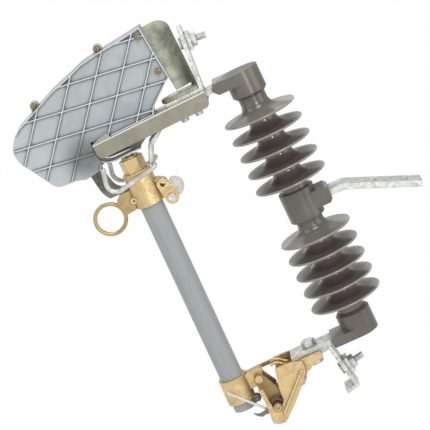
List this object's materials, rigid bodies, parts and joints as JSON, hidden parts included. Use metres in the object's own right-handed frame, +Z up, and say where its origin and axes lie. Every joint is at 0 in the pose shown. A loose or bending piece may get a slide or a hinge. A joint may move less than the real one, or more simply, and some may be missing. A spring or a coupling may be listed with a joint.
{
  "type": "dropout fuse cutout",
  "caption": "Dropout fuse cutout with a shed insulator, a hinged fuse tube, load-break hooks and a ribbed arc chute, held by a bent bracket bar.",
  "frame": {"origin": "on the bracket bar's flat top face, midway between its two bolt holes", "axes": "+X along the bar's free end, away from the insulator; +Y across the bar; +Z up, out of the bar's top face"},
  "size_m": [0.5033, 0.094, 0.5147],
  "materials": {
    "silicone": "satin silicone rubber",
    "galvanised": "hot-dip galvanised",
    "sheet_steel": "dull passivated sheet",
    "dark_steel": "dull dark coating",
    "chute_plastic": "matt moulded plastic",
    "brass": "cast, unpolished",
    "tube_fibre": "painted fibre tube",
    "milky_plastic": "cloudy plastic"
  },
  "bodies": {
    "fixed": {"bracket_bar": "galvanised", "centre_collar": "silicone", "upper_shed_housing": "silicone", "lower_shed_housing": "silicone", "top_end_cap": "silicone", "bottom_end_cap": "silicone", "top_bar": "galvanised", "bottom_bar": "galvanised", "contact_hood": "sheet_steel", "contact_leaf": "galvanised", "contact_support": "dark_steel", "contact_spring": "dark_steel", "near_hook": "galvanised", "far_hook": "galvanised", "chute_front_half": "chute_plastic", "chute_back_half": "chute_plastic", "chute_sheet": "sheet_steel", "chute_screws": "brass", "upper_strap": "galvanised", "upper_stud": "galvanised", "upper_clamp_plates": "galvanised", "upper_nut": "galvanised", "hood_bolts": "galvanised", "hinge_casting": "brass", "lower_contact": "brass", "hinge_bolt": "galvanised", "lower_strap": "galvanised", "lower_stud": "galvanised", "lower_clamp_plates": "galvanised", "lower_nut": "galvanised"},
    "fuse_holder": {"fuse_tube": "tube_fibre", "ferrule_cap": "brass", "head_casting": "brass", "pull_ring": "brass", "ring_pin": "brass", "arcing_blade": "dark_steel", "lever_arm": "brass", "lever_arm_bolt": "galvanised", "bumper": "milky_plastic", "foot_casting": "brass", "toggle_pin": "galvanised", "trunnion_casting": "brass", "trunnion_pin": "galvanised", "flipper": "galvanised"}
  },
  "joints": [
    {"name": "fuseholder_swing", "type": "hinge", "parent": "fixed", "child": "fuse_holder", "pos_m": [-0.14613, 0, -0.2856], "axis": [0, -1, 0], "range_deg": [0, 150]}
  ]
}
